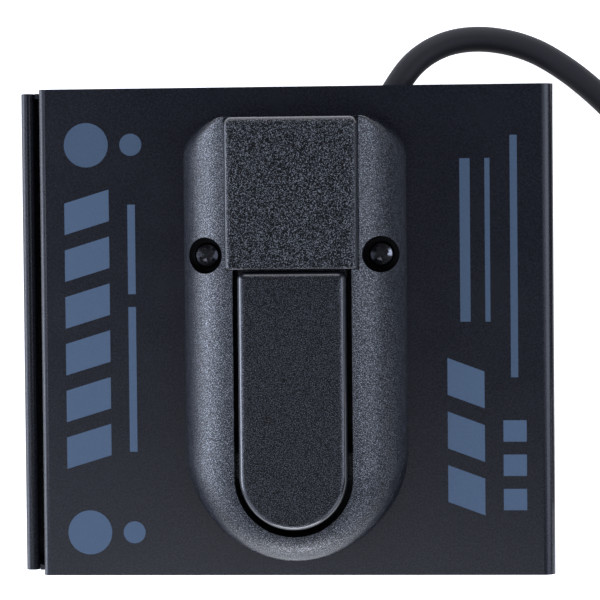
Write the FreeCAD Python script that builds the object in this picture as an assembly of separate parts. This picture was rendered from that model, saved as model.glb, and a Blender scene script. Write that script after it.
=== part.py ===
"""A foot pedal switch: a sprung pedal in a moulded housing on a folded steel box, with its cord.

The pedal points to -Y, the cord leaves at the rear (+Y), and the feet stand on z = 0. The origin
is under the middle of the box.
"""

import FreeCAD
import Part
import math
import os

V = FreeCAD.Vector

# Driving dimensions, in millimetres. Heights that end in _H, and those of the pedal's inside, are
# measured from the cover's top face, and plan places from the middle of the cover.

# How far a cut, or a piece that is joined on, runs past the face it meets
PAST = 1.0

# Folded steel box: a top cover with two flanges over a pan whose left wall has a hemmed edge
STEEL = 1.2
COVER_W = 120.3
COVER_D = 114.3
BOX_TOP = 17.0
LEFT_BEND_R = 1.6
RIGHT_BEND_R = 2.8
HEM_GAP = 0.8
HEM_RETURN = 6.5
HEM_BELOW_TOP = 4.0
HEM_TO_COVER = 1.7
PAN_BEND_R = 1.6
PAN_INSET = 0.75
SHEET_GAP = 0.3
TAB_W = 14.0
TAB_L = 12.0
TAB_Y = 30.0
TAB_RELIEF = 0.6

# Feet, and the screws that hold the pan to the cover's tabs
FOOT_H = 2.5
FOOT_R = 6.0
FOOT_INSET = 12.0
FOOT_EDGE_R = 0.8
COVER_SCREW_L = 6.0

# Pedal housing: in plan a straight rear, long sides and a half-round front
HOUSING_HALF_W = 26.0
HOUSING_REAR = 50.1
HOUSING_FRONT = -53.25
HOUSING_CORNER_R = 10.0
SHOULDER_H = 12.9
CROWN_PAST_SLOT = 0.5
CROWN_START_DEG = 14.0
CROWN_END_DEG = 76.0
HOUSING_WALL = 2.4
REAR_DRAFT = 0.4
LEAST_CORNER_R = 0.6
SLOT_HALF_W = 13.65
SLOT_FRONT = -46.7
SLOT_REAR = 44.0
SLOT_WALL = 1.8
SLOT_WALL_BOTTOM_H = 5.7
RIB_T = 1.4
HOUSING_RIBS_Y = (-14.0, 2.0)

# Housing screws down their wells, and case screws up from below
SCREW_R = 1.5
HEAD_R = 2.9
HEAD_H = 1.9
HOLE_GAP = 0.2
THREAD_GAP = 0.05
BOSS_WALL = 1.4
WELL_X = 20.25
WELL_Y = 18.0
WELL_R = 4.2
WELL_FLOOR_H = 2.5
WELL_WALL = 1.5
HOUSING_SCREW_L = 10.0
CASE_BOSS_L = 7.0
CASE_SCREW_X = 20.8
CASE_SCREW_Y = -25.0
CASE_SCREW_L = 9.0
HOUSING_BOSS_H = 8.0

# Heel cover over the pivot, clipped into the slot's side walls
HEEL_HALF_W = 15.3
HEEL_FRONT = 14.7
HEEL_SEAT = 1.7
HEEL_GAP = 0.15
HEEL_WALL = 1.8
HEEL_ROOF = 1.6
HEEL_EDGE_R = 1.7
HEEL_FRONT_EDGE_R = 0.7
HEEL_CORNER_R = 1.9
CLIP_W = 4.0
CLIP_T = 1.2
CLIP_Y = 39.5
CLIP_L = 4.4
BARB = 0.9
BARB_L = 1.6

# Pedal lever and its pivot
PEDAL_H = 15.5
PEDAL_HALF_W = 12.45
PEDAL_FRONT = -45.0
PEDAL_REAR = 14.35
PEDAL_ROOF = 2.4
PEDAL_WALL = 1.8
PEDAL_SKIRT_H = 6.5
PEDAL_EDGE_R = 1.9
PEDAL_CORNER_R = 2.0
PEDAL_RIB_X = 6.4
PEDAL_RIBS_Y = (-24.0, -13.0, 8.0)
PEDAL_RIB_T = 1.4
PEDAL_RIB_L = 4.0
PIVOT_Y = 30.0
PIVOT_H = 7.0
PIN_R = 1.5
PIN_SEAT_GAP = 0.02
PIN_RUN_GAP = 0.05
HUB_WALL = 2.45
LUG_W = 10.0
LUG_T = 3.3
LUG_BOTTOM_H = 1.5
ARM_T = 2.55
DECK_T = 2.0
MOVE_GAP = 0.3
EAR_Y = -31.0
EAR_W = 6.0
EAR_T = 1.2
EAR_REACH = 1.25
TRAVEL_DEG = 6.0

# Case under the cover, with the spring and the bump stop
CASE_HALF_W = 17.6
CASE_FRONT = -48.5
CASE_REAR = 26.0
CASE_WALL = 1.5
CASE_DEPTH = 9.8
CASE_FLANGE_T = 2.0
CASE_FLANGE_INSET = 1.5
CASE_FLANGE_REAR = 38.0
SPRING_Y = -2.0
SPRING_R = 4.0
SPRING_WIRE_R = 0.5
SPRING_TURNS = 7
SPRING_GAP = 0.1
SPRING_POST_R = 3.0
SPRING_POST_L = 3.2
BUMP_Y = -36.0
BUMP_R = 5.0
BUMP_L = 5.5
BUMP_EDGE_R = 1.2
STOP_W = 8.0
STOP_T = 2.0

# Switch under the lever's actuator rib
SWITCH_Y = 17.4
SWITCH_W = 12.8
SWITCH_T = 5.8
SWITCH_L = 6.5
SWITCH_H = 2.0
SWITCH_EDGE = 0.5
BRACKET_W = 18.0
BRACKET_T = 1.6
PLUNGER_W = 3.0
PLUNGER_T = 1.2
PLUNGER_OUT = 2.0
PLUNGER_IN = 2.4
PLUNGER_ROOM = 1.7
PLUNGER_TIP_R = 0.5
ACTUATOR_W = 4.0
ACTUATOR_T = 1.6
SWITCH_HOLE_PITCH = 6.5
SWITCH_HOLE_DROP = 4.9
SWITCH_SCREW_R = 0.95
SWITCH_HEAD_R = 1.7
SWITCH_HEAD_H = 1.1
SWITCH_SCREW_L = 7.2
TERMINAL_PITCH = 5.08
TERMINAL_L = 3.5
TERMINAL_W = 1.2
TERMINAL_T = 0.4

# Cord, its gland in the rear wall and its clamp on the pan's floor
CORD_R = 3.0
CORD_BORE_GAP = 0.12
GLAND_X = 22.6
GLAND_Z = 9.8
GLAND_WALL = 1.5
GLAND_FLANGE = 1.1
GLAND_INNER_T = 1.6
GLAND_OUTER_T = 0.45
GLAND_FIT = 0.05
CLAMP_X = 19.9
CLAMP_IN = 6.95
CLAMP_W = 5.0
CLAMP_HALF_L = 9.5
CLAMP_SCREW_X = 7.0
CLAMP_STRAP_T = 1.8
CLAMP_SPLIT = 0.3
CLAMP_SCREW_R = 1.2
CLAMP_HEAD_R = 2.1
CLAMP_HEAD_H = 1.4
WIRE_R = 0.65
WIRE_HOLE_GAP = 0.5

# Put-away length of cord: a flat coil of two layers, held by a tie
COIL_LINE_X = 80.5
COIL_IN = 32.15
COIL_R = 45.5
COIL_PITCH = 6.7
COIL_LAYER = 6.6
COIL_TURNS = 3.75
CLIMB_TURNS = 0.5
TIE_T = 0.8
TIE_W = 10.0
TIE_GAP = 0.3
TIE_SAG = 0.8
TIE_CORNER_R = 2.0

# Mono jack plug on the cord's end
NECK_L = 12.0
NECK_R = 4.4
NECK_START_R = 3.7
NECK_GROOVES = 4
NECK_GROOVE = 0.6
HANDLE_L = 23.0
HANDLE_R = 6.2
HANDLE_NOSE = 1.5
COLLAR_L = 1.5
COLLAR_R = 4.6
JACK_R = 3.175
SLEEVE_L = 19.0
INSULATOR_L = 1.1
INSULATOR_R = 3.0
TIP_PROFILE = ((2.75, 0.0), (3.1, 1.2), (2.2, 3.6), (2.95, 5.6), (2.6, 7.4), (1.2, 8.7))
TIP_L = 9.0
TAIL_RUNS = (7.0, 13.0, 7.0)

# Sizes and places worked out from them

HEM_T = 2 * STEEL + HEM_GAP
BOX_W = COVER_W + HEM_T + HEM_TO_COVER
BOX_LEFT = -BOX_W / 2
BOX_RIGHT = BOX_W / 2
COVER_LEFT = BOX_RIGHT - COVER_W
PEDAL_X = (COVER_LEFT + BOX_RIGHT) / 2
REAR = COVER_D / 2
PAN_D = COVER_D - 2 * PAN_INSET
PAN_FLOOR = FOOT_H + STEEL
COVER_UNDER = BOX_TOP - STEEL
PAN_RIGHT = BOX_RIGHT - STEEL - SHEET_GAP
TAB_HOLE = TAB_L * 0.6

CROWN_W = HOUSING_HALF_W - SLOT_HALF_W + CROWN_PAST_SLOT
SHOULDER_Z = BOX_TOP + SHOULDER_H
SLOT_OUT = SLOT_HALF_W + SLOT_WALL
PEDAL_Z = BOX_TOP + PEDAL_H
HEEL_SEAT_Z = SHOULDER_Z - HEEL_SEAT
HEEL_REAR = HOUSING_REAR - REAR_DRAFT - HEEL_GAP
PIVOT_Z = BOX_TOP + PIVOT_H
HUB_R = PIN_R + PIN_RUN_GAP + HUB_WALL
ROOF_UNDER_Z = PEDAL_Z - PEDAL_ROOF
SKIRT_Z = BOX_TOP + PEDAL_SKIRT_H
DECK_Z = HEEL_SEAT_Z - MOVE_GAP - 0.2
EAR_TOP_Z = BOX_TOP + SLOT_WALL_BOTTOM_H - MOVE_GAP

CASE_FLOOR_Z = COVER_UNDER - CASE_DEPTH + CASE_WALL
WINDOW_HALF_W = CASE_HALF_W - CASE_WALL
WINDOW_FRONT = CASE_FRONT + CASE_WALL
WINDOW_REAR = CASE_REAR - CASE_WALL
BUMP_Z = CASE_FLOOR_Z + BUMP_L
SWITCH_Z = BOX_TOP + SWITCH_H
PLUNGER_Z = SWITCH_Z + PLUNGER_OUT
BRACKET_Y = SWITCH_Y + SWITCH_T / 2

GLAND_R = CORD_R + CORD_BORE_GAP + GLAND_WALL
CLAMP_Y = REAR - CLAMP_IN
COIL_Y = REAR - COIL_IN
COIL_X = PEDAL_X + COIL_LINE_X + COIL_R
COIL_INNER_R = COIL_R - COIL_PITCH * COIL_TURNS
COIL_LOW_Z = TIE_T + TIE_GAP + CORD_R
COIL_HIGH_Z = COIL_LOW_Z + COIL_LAYER
COIL_END_RUN = 2 * CORD_R
PLUG_X = PEDAL_X + COIL_LINE_X
PLUG_Z = HANDLE_R
TAIL_END_Y = COIL_Y - COIL_END_RUN - sum(TAIL_RUNS)

# The cord's route from inside the box to the coil, chosen by hand: to the right of the cover's middle,
# behind its rear edge, and above the ground
LEAD_POINTS = (
    (17.4, -15.15, 9.8),
    (19.7, -7.35, 9.8),
    (22.8, -1.25, 9.5),
    (27.9, 6.15, 8.0),
    (35.6, 10.65, 6.1),
    (45.0, 11.55, 4.6),
    (55.2, 9.25, 3.6),
    (63.8, 4.15, 3.1),
    (71.1, -1.95, 3.2),
    (77.1, -8.15, 3.7),
    (80.5, -16.15, 4.1),
    (80.5, -26.15, 4.1),
)

# The routes of the two signal wires, chosen by hand: to the right of the middle, the share of the way
# from the switch to the cord's end, and above the ground
RIGHT_WIRE_POINTS = (
    (18.7, 0.976, 9.8),
    (18.3, 0.8, 9.8),
    (15.2, 0.58, 9.8),
    (9.5, 0.44, 9.8),
    (5.4, 0.26, 9.8),
    (5.1, 0.02, 9.8),
)
LEFT_WIRE_POINTS = (
    (16.3, 1.003, 9.8),
    (15.8, 0.84, 9.8),
    (10.4, 0.65, 9.8),
    (2.0, 0.52, 9.8),
    (-4.4, 0.33, 9.8),
    (-5.1, 0.02, 9.8),
)


# Simple solids


def box(x0, x1, y0, y1, z0, z1):
    return Part.makeBox(x1 - x0, y1 - y0, z1 - z0, V(x0, y0, z0))


def post(radius, x, y, z0, z1):
    """An upright cylinder."""
    return Part.makeCylinder(radius, z1 - z0, V(x, y, z0))


def bar_x(radius, x0, x1, y, z):
    return Part.makeCylinder(radius, x1 - x0, V(x0, y, z), V(1, 0, 0))


def bar_y(radius, x, y0, y1, z):
    return Part.makeCylinder(radius, y1 - y0, V(x, y0, z), V(0, 1, 0))


def joined(solids):
    """One solid out of solids that overlap or share a face."""
    return solids[0].fuse(solids[1:]).removeSplitter()


def prism(wire, height):
    return Part.Face(wire).extrude(V(0, 0, height))


def turned(profile):
    """A solid turned about the Z axis from (radius, height) points that start and end on the axis."""
    corners = [V(radius, 0, height) for radius, height in profile]
    face = Part.Face(Part.makePolygon(corners + [corners[0]]))
    return face.revolve(V(0, 0, 0), V(0, 0, 1), 360)


def edges_at(solid, z, keep=lambda edge: True):
    """The edges that lie at one height."""
    level = [e for e in solid.Edges if abs(e.BoundBox.ZMin - z) < 1e-4 and abs(e.BoundBox.ZMax - z) < 1e-4]
    return [e for e in level if keep(e)]


def upright_edges(solid):
    return [e for e in solid.Edges if e.BoundBox.XLength < 1e-4 and e.BoundBox.YLength < 1e-4]


def sides(x):
    """The places at x on either side of the pedal's middle line."""
    return (PEDAL_X - x, PEDAL_X + x)


def pan_head_screw(radius, length, head_r, head_h):
    """A screw on the Z axis, its head above z = 0 with a cross recess, its shank below."""
    slant = radius * 0.6
    solid = turned(
        [
            (0, -length),
            (radius - slant, -length),
            (radius, slant - length),
            (radius, 0),
            (head_r, 0),
            (head_r, head_h * 0.45),
            (head_r * 0.86, head_h * 0.78),
            (head_r * 0.5, head_h * 0.95),
            (0, head_h),
        ]
    )
    arm = head_r * 0.62
    wing = head_r * 0.16
    floor = head_h * 0.35
    cross = box(-arm, arm, -wing, wing, floor, head_h).fuse(box(-wing, wing, -arm, arm, floor, head_h))
    return solid.cut(cross)


def placed(solid, x, y, z, axis=V(1, 0, 0), degrees=0):
    """A copy turned about an axis through the origin and then moved."""
    copy = solid.copy()
    copy.rotate(V(0, 0, 0), axis, degrees)
    copy.translate(V(x, y, z))
    return copy


# Paths, bent sheet and tubes


def bend(start, corner, end):
    """The arc that rounds a corner, from start to end, which lie equally far from it."""
    tangent = (corner - start).Length
    inward = (start + end) * 0.5 - corner
    radius = tangent * (end - start).Length / 2 / inward.Length
    rise = math.hypot(tangent, radius) - radius
    middle = corner + inward.normalize() * rise
    return Part.Arc(start, middle, end).toShape()


def path_pieces(points, radii):
    """Runs as (start, end) and bends as (start, corner, end) along points, with a bend at each inner one."""
    pieces = []
    at = points[0]
    for before, corner, after, radius in zip(points, points[1:], points[2:], radii):
        into = (corner - before).normalize()
        out = (after - corner).normalize()
        tangent = radius * math.tan(into.getAngle(out) / 2)
        pieces.append((at, corner - into * tangent))
        pieces.append((corner - into * tangent, corner, corner + out * tangent))
        at = corner + out * tangent
    pieces.append((at, points[-1]))
    return [p for p in pieces if (p[1] - p[0]).Length > 1e-6]


def path_edges(pieces):
    return [bend(*piece) if len(piece) == 3 else Part.makeLine(*piece) for piece in pieces]


def shifted(piece, side, normal):
    """A run or bend moved sideways in its plane, parallel to where it was."""
    into = (piece[1] - piece[0]).normalize()
    start = piece[0] + normal.cross(into) * side
    if len(piece) == 2:
        return (start, piece[1] + normal.cross(into) * side)
    out = (piece[2] - piece[1]).normalize()
    grow = math.tan(into.getAngle(out) / 2) * side
    if normal.dot(into.cross(out)) > 0:
        grow = -grow
    corner = start + into * ((piece[1] - piece[0]).Length + grow)
    return (start, corner, piece[2] + normal.cross(out) * side)


def bent_sheet(points, radii, normal, length):
    """Sheet steel: the middle line of its section, with the bends' middle radii, drawn out along normal."""
    pieces = path_pieces(points, radii)
    left = path_edges([shifted(piece, STEEL / 2, normal) for piece in pieces])
    right = path_edges([shifted(piece, -STEEL / 2, normal) for piece in pieces])
    ends = [
        Part.makeLine(left[0].firstVertex().Point, right[0].firstVertex().Point),
        Part.makeLine(left[-1].lastVertex().Point, right[-1].lastVertex().Point),
    ]
    wire = Part.Wire(Part.sortEdges(left + right + ends)[0])
    return Part.Face(wire).extrude(normal * length)


def biarc(start, start_way, end, end_way):
    """Two arcs that run into each other, from start to end in the given directions."""
    gap = end - start
    ways = start_way + end_way
    spread = 2 * (1 - start_way.dot(end_way))
    along = gap.dot(ways)
    reach = (math.sqrt(along**2 + spread * gap.dot(gap)) - along) / spread
    first = start + start_way * reach
    second = end - end_way * reach
    middle = (first + second) * 0.5
    return [bend(start, first, middle), bend(middle, second, end)]


def biarcs(stops):
    """Arcs through (point, direction) stops."""
    edges = []
    for (start, start_way), (end, end_way) in zip(stops, stops[1:]):
        edges += biarc(start, start_way, end, end_way)
    return edges


def tube(edges, radius):
    """A round tube along edges that run on into each other."""
    start = edges[0].valueAt(edges[0].FirstParameter)
    along = edges[0].tangentAt(edges[0].FirstParameter)
    ring = Part.Wire(Part.makeCircle(radius, start, along))
    return Part.Wire(edges).makePipeShell([ring], True, False)


def lead_route():
    return [V(PEDAL_X + x, REAR + y, z) for x, y, z in LEAD_POINTS]


def wire_routes():
    way = lead_route()[0].y - SWITCH_Y
    routes = (RIGHT_WIRE_POINTS, LEFT_WIRE_POINTS)
    return [[V(PEDAL_X + x, SWITCH_Y + share * way, z) for x, share, z in route] for route in routes]


def widest_radii(points):
    """The largest bend that the two runs beside each point of a route allow."""
    radii = []
    for before, corner, after in zip(points, points[1:], points[2:]):
        turn = (corner - before).getAngle(after - corner)
        shorter = min((corner - before).Length, (after - corner).Length)
        radii.append(0.45 * shorter / math.tan(turn / 2))
    return radii


def route_edges(points):
    return path_edges(path_pieces(points, widest_radii(points)))


def report_tube(name, solid, edges, radius):
    length = sum(edge.Length for edge in edges)
    share = solid.Volume / (math.pi * radius**2 * length)
    print(name, "length", round(length, 1), "volume over section times length", round(share, 4))


def routed_tube(name, points, radius):
    """A tube along a route, with its radii and volume printed."""
    edges = route_edges(points)
    solid = tube(edges, radius)
    print(name, "bend radii", [round(r, 1) for r in widest_radii(points)])
    report_tube(name, solid, edges, radius)
    return solid


# Outlines in plan


def round_front_outline(half_w, front, rear, z):
    """A straight rear and sides with a half-round front."""
    left, right = sides(half_w)
    centre = front + half_w
    diagonal = half_w * math.sqrt(0.5)
    tip = V(PEDAL_X, front, z)
    return Part.Wire(
        [
            Part.makeLine(V(right, rear, z), V(left, rear, z)),
            Part.makeLine(V(left, rear, z), V(left, centre, z)),
            Part.Arc(V(left, centre, z), V(PEDAL_X - diagonal, centre - diagonal, z), tip).toShape(),
            Part.Arc(tip, V(PEDAL_X + diagonal, centre - diagonal, z), V(right, centre, z)).toShape(),
            Part.makeLine(V(right, centre, z), V(right, rear, z)),
        ]
    )


def housing_outline(half_w, front, rear, corner_r, z):
    """The same with rounded rear corners."""
    left, right = sides(half_w)
    centre = front + half_w
    diagonal = half_w * math.sqrt(0.5)
    slant = corner_r * math.sqrt(0.5)
    corner_y = rear - corner_r
    tip = V(PEDAL_X, front, z)
    left_turn = V(left + corner_r - slant, corner_y + slant, z)
    right_turn = V(right - corner_r + slant, corner_y + slant, z)
    return Part.Wire(
        [
            Part.makeLine(V(right - corner_r, rear, z), V(left + corner_r, rear, z)),
            Part.Arc(V(left + corner_r, rear, z), left_turn, V(left, corner_y, z)).toShape(),
            Part.makeLine(V(left, corner_y, z), V(left, centre, z)),
            Part.Arc(V(left, centre, z), V(PEDAL_X - diagonal, centre - diagonal, z), tip).toShape(),
            Part.Arc(tip, V(PEDAL_X + diagonal, centre - diagonal, z), V(right, centre, z)).toShape(),
            Part.makeLine(V(right, centre, z), V(right, corner_y, z)),
            Part.Arc(V(right, corner_y, z), right_turn, V(right - corner_r, rear, z)).toShape(),
        ]
    )


def front_lean(height, reach):
    """How far the housing's front has come in at a height: upright first, then rounded over to the slot."""
    end = math.radians(CROWN_END_DEG)
    radius = reach / (1 - math.cos(end))
    rise = height - SHOULDER_H + radius * math.sin(end)
    return radius - math.sqrt(radius**2 - rise**2) if rise > 0 else 0


def crowned_body(inset):
    """The housing's outside, or its inside at a wall thickness. Its sides are an arc that leans in from
    the cover to a little past the slot's edge, and its front is rounded over above an upright wall.
    The rear stays steep, so the curve fades out round the rear corners."""
    steps = 8
    start = math.radians(CROWN_START_DEG)
    end = math.radians(CROWN_END_DEG)
    front_reach = SLOT_FRONT + CROWN_PAST_SLOT - HOUSING_FRONT - inset
    sections = []
    for step in range(steps + 1):
        angle = start + (end - start) * step / steps
        up = (math.sin(angle) - math.sin(start)) / (math.sin(end) - math.sin(start))
        pull = (CROWN_W - inset) * (math.cos(start) - math.cos(angle)) / (math.cos(start) - math.cos(end))
        half_w = HOUSING_HALF_W - inset - pull
        front = HOUSING_FRONT + inset + front_lean(SHOULDER_H * up, front_reach)
        rear = HOUSING_REAR - inset - REAR_DRAFT * up
        corner_r = max(HOUSING_CORNER_R - inset - pull, LEAST_CORNER_R)
        sections.append(housing_outline(half_w, front, rear, corner_r, BOX_TOP + (SHOULDER_H - inset) * up))
    return Part.makeLoft(sections, True, False)


# Folded steel box


def cover_flange_tab(flange_x, inward, y):
    """A tab at the foot of a flange, turned inward over the pan's floor, without its hole."""
    tab_z = PAN_FLOOR + STEEL / 2
    top = tab_z + 2 * STEEL
    line = [
        V(flange_x, y - TAB_W / 2, top),
        V(flange_x, y - TAB_W / 2, tab_z),
        V(flange_x + inward * TAB_L, y - TAB_W / 2, tab_z),
    ]
    return bent_sheet(line, [STEEL], V(0, 1, 0), TAB_W)


def tab_screw_places():
    left = COVER_LEFT + STEEL / 2 + TAB_HOLE
    right = BOX_RIGHT - STEEL / 2 - TAB_HOLE
    return [(x, y) for x in (left, right) for y in (-TAB_Y, TAB_Y)]


def left_flange_end(side):
    """What is cut off an end of the left flange, so that the pan's end wall passes it."""
    y0, y1 = sorted((side * (PAN_D / 2 - STEEL - SHEET_GAP), side * (COVER_D / 2 + PAST)))
    return box(COVER_LEFT - PAST, COVER_LEFT + STEEL + SHEET_GAP, y0, y1, 0, COVER_UNDER)


def top_cover():
    left = COVER_LEFT + STEEL / 2
    right = BOX_RIGHT - STEEL / 2
    top = BOX_TOP - STEEL / 2
    front = -COVER_D / 2
    line = [
        V(left, front, PAN_FLOOR + SHEET_GAP),
        V(left, front, top),
        V(right, front, top),
        V(right, front, FOOT_H + SHEET_GAP),
    ]
    solid = bent_sheet(line, [LEFT_BEND_R - STEEL / 2, RIGHT_BEND_R - STEEL / 2], V(0, 1, 0), COVER_D)
    solid = solid.cut([left_flange_end(side) for side in (-1, 1)])
    notch_top = PAN_FLOOR + STEEL / 2 + STEEL
    notch_half = TAB_W / 2 + TAB_RELIEF
    tabs = []
    for flange_x, inward in ((left, 1), (right, -1)):
        for y in (-TAB_Y, TAB_Y):
            notch = box(flange_x - STEEL, flange_x + STEEL, y - notch_half, y + notch_half, 0, notch_top)
            solid = solid.cut(notch)
            tabs.append(cover_flange_tab(flange_x, inward, y))
    solid = joined([solid] + tabs)
    cuts = [prism(round_front_outline(WINDOW_HALF_W, WINDOW_FRONT, WINDOW_REAR, 0), 2 * BOX_TOP)]
    for x in sides(WELL_X):
        cuts.append(post(SCREW_R + HOLE_GAP, x, WELL_Y, COVER_UNDER - PAST, BOX_TOP + PAST))
    for x in sides(CASE_SCREW_X):
        cuts.append(post(SCREW_R + HOLE_GAP, x, CASE_SCREW_Y, COVER_UNDER - PAST, BOX_TOP + PAST))
    for x, y in tab_screw_places():
        cuts.append(post(SCREW_R + THREAD_GAP, x, y, 0, PAN_FLOOR + 2 * STEEL))
    return solid.cut(cuts)


def base_pan():
    floor = FOOT_H + STEEL / 2
    wall_start = BOX_LEFT + HEM_T + SHEET_GAP
    outer = BOX_LEFT + STEEL / 2
    inner = BOX_LEFT + HEM_T - STEEL / 2
    hem_top = BOX_TOP - HEM_BELOW_TOP - STEEL / 2
    front = -PAN_D / 2
    hem_line = [
        V(wall_start + PAN_BEND_R, front, floor),
        V(outer, front, floor),
        V(outer, front, hem_top),
        V(inner, front, hem_top),
        V(inner, front, hem_top - HEM_RETURN),
    ]
    hem_r = (inner - outer) / 2
    bend_r = PAN_BEND_R - STEEL / 2
    hemmed_side = bent_sheet(hem_line, [bend_r, hem_r, hem_r], V(0, 1, 0), PAN_D)
    wall_top = COVER_UNDER - SHEET_GAP
    wall_y = PAN_D / 2 - STEEL / 2
    trough_line = [
        V(wall_start, -wall_y, wall_top),
        V(wall_start, -wall_y, floor),
        V(wall_start, wall_y, floor),
        V(wall_start, wall_y, wall_top),
    ]
    trough = bent_sheet(trough_line, [bend_r, bend_r], V(1, 0, 0), PAN_RIGHT - wall_start)
    low_end = COVER_LEFT + STEEL + 2 * SHEET_GAP
    above_hem = box(wall_start - PAST, low_end, -PAN_D, PAN_D, BOX_TOP - HEM_BELOW_TOP, BOX_TOP)
    solid = joined([hemmed_side, trough.cut(above_hem)])
    cuts = [bar_y(GLAND_R + GLAND_FIT, PEDAL_X + GLAND_X, PAN_D / 2 - 2 * STEEL, PAN_D / 2 + PAST, GLAND_Z)]
    for x, y in tab_screw_places():
        cuts.append(post(SCREW_R + HOLE_GAP, x, y, 0, PAN_FLOOR + PAST))
    for x in (CLAMP_X - CLAMP_SCREW_X, CLAMP_X + CLAMP_SCREW_X):
        cuts.append(post(CLAMP_SCREW_R + THREAD_GAP, PEDAL_X + x, CLAMP_Y, 0, PAN_FLOOR + PAST))
    return solid.cut(cuts)


def rubber_feet():
    foot = Part.makeCylinder(FOOT_R, FOOT_H)
    foot = foot.makeFillet(FOOT_EDGE_R, edges_at(foot, 0))
    x = BOX_W / 2 - FOOT_INSET
    y = PAN_D / 2 - FOOT_INSET
    return [placed(foot, foot_x, foot_y, 0) for foot_x in (-x, x) for foot_y in (-y, y)]


def cover_screws():
    screw = pan_head_screw(SCREW_R, COVER_SCREW_L, HEAD_R, HEAD_H)
    return [placed(screw, x, y, FOOT_H, degrees=180) for x, y in tab_screw_places()]


# Pedal housing


def well_screw_places():
    return [(x, WELL_Y) for x in sides(WELL_X)]


def case_screw_places():
    return [(x, CASE_SCREW_Y) for x in sides(CASE_SCREW_X)]


def housing_walls():
    """What stands inside the housing: the slot's wall, pivot lugs, screw bosses, wells and ribs."""
    slot_wall = prism(
        round_front_outline(SLOT_OUT, SLOT_FRONT - SLOT_WALL, SLOT_REAR + SLOT_WALL, BOX_TOP + SLOT_WALL_BOTTOM_H),
        SHOULDER_H,
    )
    walls = [slot_wall]
    for x, side in zip(sides(SLOT_HALF_W), (-1, 1)):
        inner, outer = sorted((x, x + side * LUG_T))
        y0 = PIVOT_Y - LUG_W / 2
        walls.append(box(inner, outer, y0, y0 + LUG_W, BOX_TOP + LUG_BOTTOM_H, SHOULDER_Z))
        inner, outer = sorted((x, PEDAL_X + side * HOUSING_HALF_W))
        for y in HOUSING_RIBS_Y:
            walls.append(box(inner, outer, y, y + RIB_T, BOX_TOP, SHOULDER_Z))
    for x, y in well_screw_places():
        walls.append(post(WELL_R + WELL_WALL, x, y, BOX_TOP, SHOULDER_Z))
    for x, y in case_screw_places():
        walls.append(post(SCREW_R + THREAD_GAP + BOSS_WALL, x, y, BOX_TOP, BOX_TOP + HOUSING_BOSS_H))
    return walls


def pedal_housing():
    outside = crowned_body(0)
    hollow = crowned_body(HOUSING_WALL).cut(housing_walls())
    slot = prism(round_front_outline(SLOT_HALF_W, SLOT_FRONT, SLOT_REAR, BOX_TOP - PAST), 2 * SHOULDER_H)
    seat = box(
        PEDAL_X - HEEL_HALF_W - HEEL_GAP,
        PEDAL_X + HEEL_HALF_W + HEEL_GAP,
        HEEL_FRONT - HEEL_GAP,
        HOUSING_REAR + PAST,
        HEEL_SEAT_Z,
        SHOULDER_Z + PAST,
    )
    cuts = [hollow, slot, seat]
    for x, y in well_screw_places():
        cuts.append(post(WELL_R, x, y, BOX_TOP + WELL_FLOOR_H, SHOULDER_Z + PAST))
        cuts.append(post(SCREW_R + HOLE_GAP, x, y, BOX_TOP - PAST, SHOULDER_Z))
    for x, y in case_screw_places():
        cuts.append(post(SCREW_R + THREAD_GAP, x, y, BOX_TOP - PAST, BOX_TOP + HOUSING_BOSS_H - STEEL))
    left, right = sides(SLOT_OUT + LUG_T)
    cuts.append(bar_x(PIN_R + PIN_SEAT_GAP, left, right, PIVOT_Y, PIVOT_Z))
    cuts += clip_windows()
    solid = outside.cut(cuts)
    return solid


def clip_windows():
    """Holes in the slot's side walls for the barbs of the heel cover."""
    top = HEEL_SEAT_Z - CLIP_L + BARB_L + HEEL_GAP
    bottom = HEEL_SEAT_Z - CLIP_L - HEEL_GAP
    half = CLIP_W / 2 + HEEL_GAP
    windows = []
    for x, side in zip(sides(SLOT_HALF_W), (-1, 1)):
        inner, outer = sorted((x - side, x + side * (SLOT_WALL + HEEL_GAP)))
        windows.append(box(inner, outer, CLIP_Y - half, CLIP_Y + half, bottom, top))
    return windows


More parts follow.
